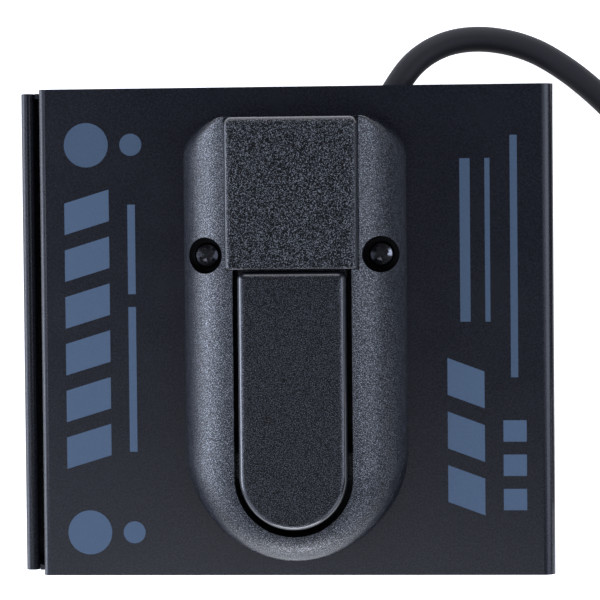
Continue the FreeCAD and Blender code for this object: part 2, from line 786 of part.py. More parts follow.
def heel_cover():
    solid = box(PEDAL_X - HEEL_HALF_W, PEDAL_X + HEEL_HALF_W, HEEL_FRONT, HEEL_REAR, HEEL_SEAT_Z, PEDAL_Z)
    middle_y = (HEEL_FRONT + HEEL_REAR) / 2
    middle_z = (HEEL_SEAT_Z + PEDAL_Z) / 2
    rear_corners = [e for e in upright_edges(solid) if e.BoundBox.YMin > middle_y]
    solid = solid.makeFillet(HEEL_CORNER_R, rear_corners)
    solid = solid.makeFillet(HEEL_EDGE_R, edges_at(solid, PEDAL_Z, lambda e: e.BoundBox.YMax > middle_y))
    at_front = [e for e in solid.Edges if e.BoundBox.YMax < HEEL_FRONT + 0.01]
    solid = solid.makeFillet(HEEL_FRONT_EDGE_R, [e for e in at_front if e.BoundBox.ZMin > middle_z])
    hollow = box(
        PEDAL_X - HEEL_HALF_W + HEEL_WALL,
        PEDAL_X + HEEL_HALF_W - HEEL_WALL,
        HEEL_FRONT + HEEL_WALL,
        HEEL_REAR - HEEL_WALL,
        HEEL_SEAT_Z - PAST,
        PEDAL_Z - HEEL_ROOF,
    )
    solid = solid.cut(hollow)
    clips = []
    for side in (-1, 1):
        face = SLOT_HALF_W - HEEL_GAP
        root = PEDAL_Z - HEEL_ROOF
        foot = HEEL_SEAT_Z - CLIP_L
        outline = [
            V(PEDAL_X + side * (face - CLIP_T), CLIP_Y - CLIP_W / 2, root),
            V(PEDAL_X + side * (face - CLIP_T), CLIP_Y - CLIP_W / 2, foot),
            V(PEDAL_X + side * face, CLIP_Y - CLIP_W / 2, foot),
            V(PEDAL_X + side * (face + BARB), CLIP_Y - CLIP_W / 2, foot + BARB_L * 0.7),
            V(PEDAL_X + side * (face + BARB), CLIP_Y - CLIP_W / 2, foot + BARB_L),
            V(PEDAL_X + side * face, CLIP_Y - CLIP_W / 2, foot + BARB_L),
            V(PEDAL_X + side * face, CLIP_Y - CLIP_W / 2, root),
        ]
        clips.append(Part.Face(Part.makePolygon(outline + [outline[0]])).extrude(V(0, CLIP_W, 0)))
    return joined([solid] + clips)


def housing_screws():
    screw = pan_head_screw(SCREW_R, HOUSING_SCREW_L, HEAD_R, HEAD_H)
    return [placed(screw, x, y, BOX_TOP + WELL_FLOOR_H, V(0, 0, 1), 25) for x, y in well_screw_places()]


def pivot_pin():
    reach = SLOT_HALF_W + LUG_T
    return bar_x(PIN_R, PEDAL_X - reach, PEDAL_X + reach, PIVOT_Y, PIVOT_Z)


# Pedal lever


def stop_rib_bottom():
    """The height at which the stop rib meets the bump stop, less the moving gap, at full travel."""
    reach = PIVOT_Y - BUMP_Y + STOP_T / 2
    travel = math.radians(TRAVEL_DEG)
    return PIVOT_Z + (BUMP_Z + MOVE_GAP - PIVOT_Z + reach * math.sin(travel)) / math.cos(travel)


def lever_arm(x0, x1):
    """One of the two arms that carry the pedal from the pivot, seen from the side as a tapering web."""
    neck = HUB_R * math.sqrt(0.5)
    outline = [
        V(x0, PEDAL_REAR - 2 * HUB_R, SKIRT_Z),
        V(x0, PEDAL_REAR - 2 * HUB_R, DECK_Z),
        V(x0, PIVOT_Y, DECK_Z),
        V(x0, PIVOT_Y + neck, PIVOT_Z + neck),
        V(x0, PIVOT_Y, PIVOT_Z - HUB_R),
        V(x0, PIVOT_Y - 2 * HUB_R, PIVOT_Z - neck),
    ]
    return Part.Face(Part.makePolygon(outline + [outline[0]])).extrude(V(x1 - x0, 0, 0))


def pedal_lever():
    shell = prism(round_front_outline(PEDAL_HALF_W, PEDAL_FRONT, PEDAL_REAR, SKIRT_Z), PEDAL_Z - SKIRT_Z)
    rear_corners = [e for e in upright_edges(shell) if abs(e.BoundBox.YMax - PEDAL_REAR) < 1e-4]
    shell = shell.makeFillet(PEDAL_CORNER_R, rear_corners)
    shell = shell.makeFillet(PEDAL_EDGE_R, edges_at(shell, PEDAL_Z))
    inner_half = PEDAL_HALF_W - PEDAL_WALL
    hollow = prism(
        round_front_outline(inner_half, PEDAL_FRONT + PEDAL_WALL, PEDAL_REAR - PEDAL_WALL, SKIRT_Z - PAST),
        ROOF_UNDER_Z - SKIRT_Z + PAST,
    )
    pieces = [shell.cut(hollow)]
    rib_bottom = ROOF_UNDER_Z - PEDAL_RIB_L
    rib_front = PEDAL_RIBS_Y[0]
    for x in sides(PEDAL_RIB_X):
        x0 = x - PEDAL_RIB_T / 2
        rib = box(x0, x0 + PEDAL_RIB_T, rib_front, PEDAL_REAR - PAST, rib_bottom, ROOF_UNDER_Z + PAST)
        pieces.append(rib)
    for y in PEDAL_RIBS_Y:
        left, right = sides(inner_half + 0.5)
        pieces.append(box(left, right, y, y + PEDAL_RIB_T, rib_bottom, ROOF_UNDER_Z + PAST))
    pieces.append(post(SPRING_POST_R, PEDAL_X, SPRING_Y, ROOF_UNDER_Z - SPRING_POST_L, ROOF_UNDER_Z + PAST))
    left, right = sides(STOP_W / 2)
    stop_y = BUMP_Y - STOP_T / 2
    pieces.append(box(left, right, stop_y, stop_y + STOP_T, stop_rib_bottom(), ROOF_UNDER_Z + PAST))
    left, right = sides(PEDAL_HALF_W)
    pieces.append(lever_arm(left, left + ARM_T))
    pieces.append(lever_arm(right - ARM_T, right))
    pieces.append(bar_x(HUB_R, left, right, PIVOT_Y, PIVOT_Z))
    pieces.append(box(left, right, PEDAL_REAR - PEDAL_WALL - PAST, PIVOT_Y, DECK_Z - DECK_T, DECK_Z))
    left, right = sides(ACTUATOR_W / 2)
    rib_y = SWITCH_Y - ACTUATOR_T / 2
    pieces.append(box(left, right, rib_y, rib_y + ACTUATOR_T, PLUNGER_Z + MOVE_GAP, DECK_Z))
    for x, side in zip(sides(PEDAL_HALF_W), (-1, 1)):
        inner, outer = sorted((x - side * PEDAL_WALL, x + side * (SLOT_HALF_W - PEDAL_HALF_W + EAR_REACH)))
        y0 = EAR_Y - EAR_W / 2
        pieces.append(box(inner, outer, y0, y0 + EAR_W, EAR_TOP_Z - EAR_T, EAR_TOP_Z))
        inner, outer = sorted((x - side * PEDAL_WALL, x))
        pieces.append(box(inner, outer, y0, y0 + EAR_W, EAR_TOP_Z - EAR_T, SKIRT_Z + PAST))
    solid = joined(pieces)
    left, right = sides(PEDAL_HALF_W + PAST)
    return solid.cut(bar_x(PIN_R + PIN_RUN_GAP, left, right, PIVOT_Y, PIVOT_Z))


# Case with the spring, bump stop and switch


def switch_hole_places():
    z = SWITCH_Z - SWITCH_HOLE_DROP
    return [(x, z) for x in sides(SWITCH_HOLE_PITCH / 2)]


def lower_case():
    flange_inset = CASE_FLANGE_INSET
    flange = prism(
        housing_outline(
            HOUSING_HALF_W - flange_inset,
            HOUSING_FRONT + flange_inset,
            CASE_FLANGE_REAR,
            HOUSING_CORNER_R - flange_inset,
            COVER_UNDER - CASE_FLANGE_T,
        ),
        CASE_FLANGE_T,
    )
    tub = prism(
        round_front_outline(CASE_HALF_W, CASE_FRONT, CASE_REAR, COVER_UNDER - CASE_DEPTH),
        CASE_DEPTH,
    )
    bosses = []
    for x, y in well_screw_places():
        bosses.append(post(SCREW_R + THREAD_GAP + BOSS_WALL, x, y, COVER_UNDER - CASE_BOSS_L, COVER_UNDER))
    hollow = prism(
        round_front_outline(WINDOW_HALF_W, WINDOW_FRONT, WINDOW_REAR, CASE_FLOOR_Z),
        CASE_DEPTH + PAST,
    )
    solid = joined([flange, tub] + bosses).cut(hollow)
    left, right = sides(BRACKET_W / 2)
    bracket = box(left, right, BRACKET_Y, BRACKET_Y + BRACKET_T, CASE_FLOOR_Z - PAST, SWITCH_Z - MOVE_GAP)
    spring_seat = post(SPRING_POST_R, PEDAL_X, SPRING_Y, CASE_FLOOR_Z - PAST, CASE_FLOOR_Z + SPRING_POST_L)
    gussets = []
    for x in (left, right - BRACKET_T):
        y0 = BRACKET_Y + BRACKET_T / 2
        gussets.append(box(x, x + BRACKET_T, y0, CASE_REAR - PAST, CASE_FLOOR_Z - PAST, COVER_UNDER))
    solid = joined([solid, bracket, spring_seat] + gussets)
    cuts = []
    for x, y in well_screw_places():
        cuts.append(post(SCREW_R + THREAD_GAP, x, y, COVER_UNDER - CASE_BOSS_L - PAST, COVER_UNDER + PAST))
    for x, y in case_screw_places():
        cuts.append(post(SCREW_R + HOLE_GAP, x, y, COVER_UNDER - CASE_FLANGE_T - PAST, COVER_UNDER + PAST))
    for x, z in switch_hole_places():
        cuts.append(bar_y(SWITCH_SCREW_R + THREAD_GAP, x, SWITCH_Y, BRACKET_Y + BRACKET_T + PAST, z))
    for points in wire_routes():
        cuts.append(tube(route_edges(points), WIRE_R + WIRE_HOLE_GAP))
    return solid.cut(cuts)


def case_screws():
    screw = pan_head_screw(SCREW_R, CASE_SCREW_L, HEAD_R, HEAD_H)
    z = COVER_UNDER - CASE_FLANGE_T
    return [placed(screw, x, y, z, degrees=180) for x, y in case_screw_places()]


def return_spring():
    """Wire wound as biarcs of a quarter turn each, from the case's floor to the pedal's underside."""
    bottom = CASE_FLOOR_Z + SPRING_WIRE_R + SPRING_GAP
    length = ROOF_UNDER_Z - SPRING_WIRE_R - SPRING_GAP - bottom
    pitch = length / SPRING_TURNS
    stops = []
    for quarter in range(4 * SPRING_TURNS + 1):
        angle = math.pi / 2 * quarter
        out = V(math.cos(angle), math.sin(angle), 0) * SPRING_R
        way = V(-out.y, out.x, pitch / (2 * math.pi)).normalize()
        stops.append((V(PEDAL_X, SPRING_Y, bottom + pitch * quarter / 4) + out, way))
    edges = biarcs(stops)
    solid = tube(edges, SPRING_WIRE_R)
    report_tube("spring", solid, edges, SPRING_WIRE_R)
    return solid


def bump_stop():
    stop = post(BUMP_R, PEDAL_X, BUMP_Y, CASE_FLOOR_Z, BUMP_Z)
    return stop.makeFillet(BUMP_EDGE_R, edges_at(stop, BUMP_Z))


def switch_body():
    left, right = sides(SWITCH_W / 2)
    solid = box(left, right, SWITCH_Y - SWITCH_T / 2, BRACKET_Y, SWITCH_Z - SWITCH_L, SWITCH_Z)
    solid = solid.makeChamfer(SWITCH_EDGE, edges_at(solid, SWITCH_Z, lambda e: e.BoundBox.YLength < 1e-4))
    left, right = sides(PLUNGER_W / 2 + MOVE_GAP)
    half = PLUNGER_T / 2 + MOVE_GAP
    floor = SWITCH_Z - PLUNGER_IN - PLUNGER_ROOM
    cuts = [box(left, right, SWITCH_Y - half, SWITCH_Y + half, floor, SWITCH_Z + PAST)]
    for x, z in switch_hole_places():
        cuts.append(bar_y(SWITCH_SCREW_R + HOLE_GAP / 2, x, SWITCH_Y - SWITCH_T, BRACKET_Y + PAST, z))
    return solid.cut(cuts)


def switch_plunger():
    left, right = sides(PLUNGER_W / 2)
    half = PLUNGER_T / 2
    solid = box(left, right, SWITCH_Y - half, SWITCH_Y + half, SWITCH_Z - PLUNGER_IN, PLUNGER_Z)
    return solid.makeFillet(PLUNGER_TIP_R, edges_at(solid, PLUNGER_Z, lambda e: e.BoundBox.YLength < 1e-4))


def switch_terminals():
    top = SWITCH_Z - SWITCH_L
    half = TERMINAL_T / 2
    blades = []
    for x in (PEDAL_X - TERMINAL_PITCH, PEDAL_X, PEDAL_X + TERMINAL_PITCH):
        x0 = x - TERMINAL_W / 2
        blade = box(x0, x0 + TERMINAL_W, SWITCH_Y - half, SWITCH_Y + half, top - TERMINAL_L, top)
        blades.append(blade)
    return blades


def switch_screws():
    screw = pan_head_screw(SWITCH_SCREW_R, SWITCH_SCREW_L, SWITCH_HEAD_R, SWITCH_HEAD_H)
    front = SWITCH_Y - SWITCH_T / 2
    return [placed(screw, x, front, z, degrees=90) for x, z in switch_hole_places()]


# Cord


def cord_bore():
    """A stretch of the cord, a little fatter, that bores the gland and the clamp."""
    return tube(route_edges(lead_route())[:6], CORD_R + CORD_BORE_GAP)


def cord_gland():
    x = PEDAL_X + GLAND_X
    wall_out = PAN_D / 2
    wall_in = wall_out - STEEL
    flange_r = GLAND_R + GLAND_FLANGE
    inner = bar_y(flange_r, x, wall_in - GLAND_FIT - GLAND_INNER_T, wall_in - GLAND_FIT, GLAND_Z)
    waist = bar_y(GLAND_R, x, wall_in - GLAND_INNER_T, wall_out + GLAND_OUTER_T, GLAND_Z)
    outer = bar_y(flange_r, x, wall_out + GLAND_FIT, wall_out + GLAND_OUTER_T, GLAND_Z)
    return joined([inner, waist, outer]).cut(cord_bore())


def clamp_block(z0, z1):
    x = PEDAL_X + CLAMP_X
    return box(x - CLAMP_HALF_L, x + CLAMP_HALF_L, CLAMP_Y - CLAMP_W / 2, CLAMP_Y + CLAMP_W / 2, z0, z1)


def clamp_screw_holes(gap):
    places = (PEDAL_X + CLAMP_X - CLAMP_SCREW_X, PEDAL_X + CLAMP_X + CLAMP_SCREW_X)
    return [post(CLAMP_SCREW_R + gap, x, CLAMP_Y, 0, COVER_UNDER) for x in places]


def clamp_base():
    return clamp_block(PAN_FLOOR, GLAND_Z - CLAMP_SPLIT / 2).cut([cord_bore()] + clamp_screw_holes(HOLE_GAP))


def clamp_strap():
    foot = GLAND_Z + CLAMP_SPLIT / 2
    wings = clamp_block(foot, foot + CLAMP_STRAP_T)
    hump_r = CORD_R + CLAMP_STRAP_T
    x = PEDAL_X + CLAMP_X
    hump = bar_y(hump_r, x, CLAMP_Y - CLAMP_W / 2, CLAMP_Y + CLAMP_W / 2, GLAND_Z)
    hump = hump.common(clamp_block(foot, COVER_UNDER))
    return joined([wings, hump]).cut([cord_bore()] + clamp_screw_holes(HOLE_GAP))


def clamp_screws():
    top = GLAND_Z + CLAMP_SPLIT / 2 + CLAMP_STRAP_T
    screw = pan_head_screw(CLAMP_SCREW_R, top - FOOT_H - STEEL / 2, CLAMP_HEAD_R, CLAMP_HEAD_H)
    places = (PEDAL_X + CLAMP_X - CLAMP_SCREW_X, PEDAL_X + CLAMP_X + CLAMP_SCREW_X)
    return [placed(screw, x, CLAMP_Y, top) for x in places]


def signal_wires():
    return [routed_tube("signal wire", points, WIRE_R) for points in wire_routes()]


def cord_lead():
    return routed_tube("lead", lead_route(), CORD_R)


def coil_point(turn):
    """A point of the coil's line, after so many turns: in along the floor, up, and out on the top."""
    climb = (turn - COIL_TURNS) / CLIMB_TURNS
    if climb <= 0:
        radius = COIL_R - COIL_PITCH * turn
        z = COIL_LOW_Z
    elif climb < 1:
        radius = COIL_INNER_R - COIL_PITCH * CLIMB_TURNS * (climb - climb**2)
        z = COIL_LOW_Z + COIL_LAYER * climb**2 * (3 - 2 * climb)
    else:
        radius = COIL_INNER_R + COIL_PITCH * (turn - COIL_TURNS - CLIMB_TURNS)
        z = COIL_HIGH_Z
    angle = math.pi + 2 * math.pi * turn
    return V(COIL_X + radius * math.cos(angle), COIL_Y + radius * math.sin(angle), z)


def coil_direction(turn, ahead=1e-4):
    return (coil_point(turn + ahead) - coil_point(turn - ahead)).normalize()


def coil_edges():
    """A straight run, biarcs of a quarter turn each, and a straight run."""
    turns = 2 * COIL_TURNS + CLIMB_TURNS
    quarters = round(4 * turns)
    straight = V(0, -1, 0)
    ends = [turns * i / quarters for i in range(quarters + 1)]
    stops = [(coil_point(turn), coil_direction(turn)) for turn in ends]
    stops[0] = (stops[0][0], straight)
    stops[-1] = (stops[-1][0], straight)
    entry = Part.makeLine(stops[0][0] - straight * COIL_END_RUN, stops[0][0])
    exit_run = Part.makeLine(stops[-1][0], stops[-1][0] + straight * COIL_END_RUN)
    return [entry] + biarcs(stops) + [exit_run]


def least_gap(edges, radius, apart):
    """The least gap between a tube's own turns, measured on points at least so far apart along it."""
    points = []
    along = 0.0
    for edge in edges:
        count = max(2, round(edge.Length / 1.5))
        for point in edge.discretize(count)[:-1]:
            points.append((along, point))
            along += edge.Length / (count - 1)
    least = math.inf
    for i, (at, point) in enumerate(points):
        for other_at, other in points[i + 1 :]:
            if other_at - at > apart:
                least = min(least, point.distanceToPoint(other))
    return least - 2 * radius


def cord_coil():
    edges = coil_edges()
    solid = tube(edges, CORD_R)
    report_tube("coil", solid, edges, CORD_R)
    print("coil least gap to itself", round(least_gap(edges, CORD_R, math.pi * COIL_INNER_R), 3))
    return solid


def coil_tie():
    """A strap round the bundle of turns, on the side away from the box."""
    inner = COIL_X + COIL_INNER_R + COIL_PITCH / 4 - CORD_R - TIE_SAG - TIE_GAP
    outer = COIL_X + COIL_R - COIL_PITCH / 2 + CORD_R + TIE_GAP
    y0, y1 = COIL_Y - TIE_W / 2, COIL_Y + TIE_W / 2
    top = COIL_HIGH_Z + CORD_R + TIE_GAP
    outside = box(inner - TIE_T, outer + TIE_T, y0, y1, 0, top + TIE_T)
    inside = box(inner, outer, y0 - PAST, y1 + PAST, TIE_T, top)
    corners = [e for e in outside.Edges if e.BoundBox.XLength < 1e-4 and e.BoundBox.ZLength < 1e-4]
    inside_corners = [e for e in inside.Edges if e.BoundBox.XLength < 1e-4 and e.BoundBox.ZLength < 1e-4]
    rounded_inside = inside.makeFillet(TIE_CORNER_R - TIE_T, inside_corners)
    return outside.makeFillet(TIE_CORNER_R, corners).cut(rounded_inside)


def cord_tail():
    start = COIL_Y - COIL_END_RUN
    level, drop, last = TAIL_RUNS
    points = [
        V(PLUG_X, start, COIL_HIGH_Z),
        V(PLUG_X, start - level, COIL_HIGH_Z),
        V(PLUG_X, start - level - drop, PLUG_Z),
        V(PLUG_X, start - level - drop - last, PLUG_Z),
    ]
    return routed_tube("tail", points, CORD_R)


# Plug, turned about its own axis, which starts at the end of the cord


def on_plug(solid, start):
    """A turned piece laid along the plug's axis, towards -Y, so far from the cord's end."""
    return placed(solid, PLUG_X, TAIL_END_Y - start, PLUG_Z, degrees=90)


def plug_handle():
    profile = [(0, 0), (NECK_START_R, 0)]
    step = NECK_L / (2 * NECK_GROOVES + 1)
    for groove in range(NECK_GROOVES):
        near = step * (2 * groove + 1)
        radius = NECK_START_R + (NECK_R - NECK_START_R) * near / NECK_L
        profile += [
            (radius, near),
            (radius - NECK_GROOVE, near),
            (radius - NECK_GROOVE, near + step),
            (radius, near + step),
        ]
    end = NECK_L + HANDLE_L
    profile += [
        (NECK_R, NECK_L),
        (HANDLE_R, NECK_L + HANDLE_NOSE),
        (HANDLE_R, end - HANDLE_NOSE),
        (HANDLE_R - HANDLE_NOSE / 2, end),
        (0, end),
    ]
    return on_plug(turned(profile), 0)


def plug_sleeve():
    profile = [
        (0, 0),
        (COLLAR_R, 0),
        (COLLAR_R, COLLAR_L),
        (JACK_R, COLLAR_L),
        (JACK_R, COLLAR_L + SLEEVE_L),
        (0, COLLAR_L + SLEEVE_L),
    ]
    return on_plug(turned(profile), NECK_L + HANDLE_L)


def plug_insulator():
    return on_plug(Part.makeCylinder(INSULATOR_R, INSULATOR_L), NECK_L + HANDLE_L + COLLAR_L + SLEEVE_L)


def plug_tip():
    profile = [(0, 0)] + list(TIP_PROFILE) + [(0, TIP_L)]
    return on_plug(turned(profile), NECK_L + HANDLE_L + COLLAR_L + SLEEVE_L + INSULATOR_L)


SUB_PARTS = (
    top_cover,
    base_pan,
    rubber_feet,
    cover_screws,
    pedal_housing,
    heel_cover,
    housing_screws,
    pivot_pin,
    pedal_lever,
    lower_case,
    case_screws,
    return_spring,
    bump_stop,
    switch_body,
    switch_plunger,
    switch_terminals,
    switch_screws,
    cord_gland,
    clamp_base,
    clamp_strap,
    clamp_screws,
    signal_wires,
    cord_lead,
    cord_coil,
    coil_tie,
    cord_tail,
    plug_handle,
    plug_sleeve,
    plug_insulator,
    plug_tip,
)


def main():
    os.makedirs("parts", exist_ok=True)
    for sub_part in SUB_PARTS:
        made = sub_part()
        shape = Part.makeCompound(made) if isinstance(made, list) else made
        solids = shape.Solids
        if not solids or not all(solid.isValid() for solid in solids):
            raise ValueError(f"{sub_part.__name__} is not made of valid solids")
        shape = solids[0] if len(solids) == 1 else Part.makeCompound(solids)
        shape.exportStep(f"parts/{sub_part.__name__}.step")
        print(sub_part.__name__, len(solids), "solids", round(shape.Volume, 1))


main()
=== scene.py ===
import math

import bmesh
import bpy
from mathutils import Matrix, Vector


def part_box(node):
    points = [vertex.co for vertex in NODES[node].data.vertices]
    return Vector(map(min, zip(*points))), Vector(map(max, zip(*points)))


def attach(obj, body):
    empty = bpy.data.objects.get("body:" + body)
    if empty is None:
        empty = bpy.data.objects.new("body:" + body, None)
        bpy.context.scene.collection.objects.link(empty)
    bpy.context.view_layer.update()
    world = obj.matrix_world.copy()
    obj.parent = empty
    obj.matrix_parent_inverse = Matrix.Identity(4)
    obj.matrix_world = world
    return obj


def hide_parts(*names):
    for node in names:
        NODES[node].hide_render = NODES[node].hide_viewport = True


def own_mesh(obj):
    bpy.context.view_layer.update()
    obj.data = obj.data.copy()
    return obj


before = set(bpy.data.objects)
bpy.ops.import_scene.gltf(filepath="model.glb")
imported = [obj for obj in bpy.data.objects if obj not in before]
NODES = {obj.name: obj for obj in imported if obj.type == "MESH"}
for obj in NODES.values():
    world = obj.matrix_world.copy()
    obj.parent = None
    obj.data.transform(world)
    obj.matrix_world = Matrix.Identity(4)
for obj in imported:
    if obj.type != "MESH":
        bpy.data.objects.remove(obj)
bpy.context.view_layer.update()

MM = 0.001

# Places shared with part.py, in millimetres

PEDAL_X = 2.45
BOX_TOP = 17.0
CORD_R = 3.0
COIL_LINE_X = 80.5
COIL_Y = 25.0
COIL_R = 45.5
COIL_PITCH = 6.7
COIL_LAYER = 6.6
COIL_TURNS = 3.75
CLIMB_TURNS = 0.5
COIL_LOW_Z = 4.1
COIL_HIGH_Z = COIL_LOW_Z + COIL_LAYER
PLUG_Z = 6.2
REAR = 57.15

# The cord's way to the coil: how far each point lies to the right of the pedal's middle, behind the
# box's rear and above the ground
LEAD_POINTS = (
    (17.4, -15.15, 9.8),
    (19.7, -7.35, 9.8),
    (22.8, -1.25, 9.5),
    (27.9, 6.15, 8.0),
    (35.6, 10.65, 6.1),
    (45.0, 11.55, 4.6),
    (55.2, 9.25, 3.6),
    (63.8, 4.15, 3.1),
    (71.1, -1.95, 3.2),
    (77.1, -8.15, 3.7),
    (80.5, -16.15, 4.1),
    (80.5, -26.15, 4.1),
)

# Its straight way from the coil to the plug: each point's y, and its height above the ground
TAIL_POINTS = (
    (19.0, COIL_HIGH_Z),
    (12.0, COIL_HIGH_Z),
    (-1.0, PLUG_Z),
    (-8.0, PLUG_Z),
)


def added(name, data):
    """A new object in the scene that shows this data."""
    thing = bpy.data.objects.new(name, data)
    bpy.context.collection.objects.link(thing)
    return thing


# Camera: nearly straight above the box, as in the photograph

SENSOR_MM = 36.0
LENS_MM = 151.2
CLIP_START = 0.01
CAMERA_PLACE = (0.04113, 0.0247, 0.604)
CAMERA_TURN = (-0.0301, 0.0638, -0.0095)


def make_camera():
    data = bpy.data.cameras.new("camera")
    data.sensor_fit = "HORIZONTAL"
    data.sensor_width = SENSOR_MM
    data.lens = LENS_MM
    data.clip_start = CLIP_START
    camera = added("camera", data)
    camera.location = CAMERA_PLACE
    camera.rotation_euler = CAMERA_TURN
    bpy.context.scene.camera = camera


make_camera()


# Cord

COIL_POINTS_PER_TURN = 16
CORD_ORDER = 3
CORD_STEPS = 6
CORD_ROUNDNESS = 6


def coil_point(turn):
    """A point of the put-away coil after so many turns: in along the floor, up, and out on the top."""
    inner_r = COIL_R - COIL_PITCH * COIL_TURNS
    climb = (turn - COIL_TURNS) / CLIMB_TURNS
    if climb <= 0:
        radius = COIL_R - COIL_PITCH * turn
        z = COIL_LOW_Z
    elif climb < 1:
        radius = inner_r - COIL_PITCH * CLIMB_TURNS * (climb - climb**2)
        z = COIL_LOW_Z + COIL_LAYER * climb**2 * (3 - 2 * climb)
    else:
        radius = inner_r + COIL_PITCH * (turn - COIL_TURNS - CLIMB_TURNS)
        z = COIL_HIGH_Z
    return radius, math.pi + 2 * math.pi * turn, z


def coil_control_points():
    """Control points a little outside the turns, because the spline passes inside them."""
    turns = 2 * COIL_TURNS + CLIMB_TURNS
    count = round(turns * COIL_POINTS_PER_TURN)
    outside = 1 / math.cos(math.pi / COIL_POINTS_PER_TURN)
    points = []
    for i in range(count + 1):
        radius, angle, z = coil_point(turns * i / count)
        reach = radius * (outside if 0 < i < count else 1)
        x = COIL_LINE_X + COIL_R + reach * math.cos(angle)
        points.append((x, COIL_Y + reach * math.sin(angle), z))
    return points


def make_cord():
    lead = [(x, REAR + y, z) for x, y, z in LEAD_POINTS]
    tail = [(COIL_LINE_X, y, z) for y, z in TAIL_POINTS]
    route = lead + coil_control_points() + tail
    curve = bpy.data.curves.new("cord", "CURVE")
    curve.dimensions = "3D"
    spline = curve.splines.new("NURBS")
    spline.points.add(len(route) - 1)
    for point, (x, y, z) in zip(spline.points, route):
        point.co = ((PEDAL_X + x) * MM, y * MM, z * MM, 1)
        point.radius = CORD_R * MM
    spline.order_u = CORD_ORDER
    spline.use_endpoint_u = True
    spline.resolution_u = CORD_STEPS
    curve.bevel_depth = 1.0
    curve.bevel_resolution = CORD_ROUNDNESS
    curve.use_fill_caps = True
    cord = added("cord", curve)
    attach(cord, "base")
    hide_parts("cord_lead", "cord_coil", "cord_tail")


make_cord()


# Return spring: a piece of its own, because it shortens when the pedal goes down

SPRING_WIRE_R = 0.5 * MM
SPRING_TURNS = 7
SPRING_RINGS_PER_TURN = 28
SPRING_SIDES = 10


def spring_rings(low, high):
    """Rings of points round the wire, which winds up inside the box of the spring."""
    middle = (low + high) / 2
    radius = (high.x - low.x) / 2 - SPRING_WIRE_R
    rise = high.z - low.z - 2 * SPRING_WIRE_R
    count = SPRING_TURNS * SPRING_RINGS_PER_TURN
    rings = []
    for i in range(count + 1):
        angle = 2 * math.pi * SPRING_TURNS * i / count
        out = Vector((math.cos(angle), math.sin(angle), 0))
        foot = Vector((middle.x, middle.y, low.z + SPRING_WIRE_R + rise * i / count))
        along = Vector((-out.y * radius, out.x * radius, rise / (2 * math.pi * SPRING_TURNS)))
        up = along.normalized().cross(out)
        turns = [2 * math.pi * k / SPRING_SIDES for k in range(SPRING_SIDES)]
        ways = [math.cos(turn) * out + math.sin(turn) * up for turn in turns]
        rings.append([foot + out * radius + SPRING_WIRE_R * way for way in ways])
    return rings


def make_spring():
    low, high = [Vector(corner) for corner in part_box("return_spring")]
    shape = bmesh.new()
    rings = [[shape.verts.new(point) for point in ring] for ring in spring_rings(low, high)]
    for first, second in zip(rings, rings[1:]):
        for k in range(SPRING_SIDES):
            after = (k + 1) % SPRING_SIDES
            shape.faces.new((first[k], first[after], second[after], second[k]))
    for end in (rings[0], rings[-1]):
        shape.faces.new(end)
    bmesh.ops.recalc_face_normals(shape, faces=shape.faces)
    for face in shape.faces:
        face.smooth = len(face.verts) == 4
    mesh = bpy.data.meshes.new("spring_wire")
    shape.to_mesh(mesh)
    shape.free()
    spring = added("spring_wire", mesh)
    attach(spring, "base")
    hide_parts("return_spring")
    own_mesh(spring)


make_spring()


# Materials

# Most of a noise's values lie between these
NOISE_LOW = 0.3
NOISE_HIGH = 0.7

# A face is level when the upward share of its normal is near 1
LEVEL_LOW = 0.9
LEVEL_HIGH = 0.98
HEIGHT_BLEND_MM = 0.5


def srgb(red, green, blue):
    """Linear colour of an 8-bit screen colour."""
    values = [c / 255 for c in (red, green, blue)]
    return [c / 12.92 if c <= 0.04045 else ((c + 0.055) / 1.055) ** 2.4 for c in values] + [1]


def scaled(colour, factor):
    return [c * factor for c in colour[:3]] + [1]


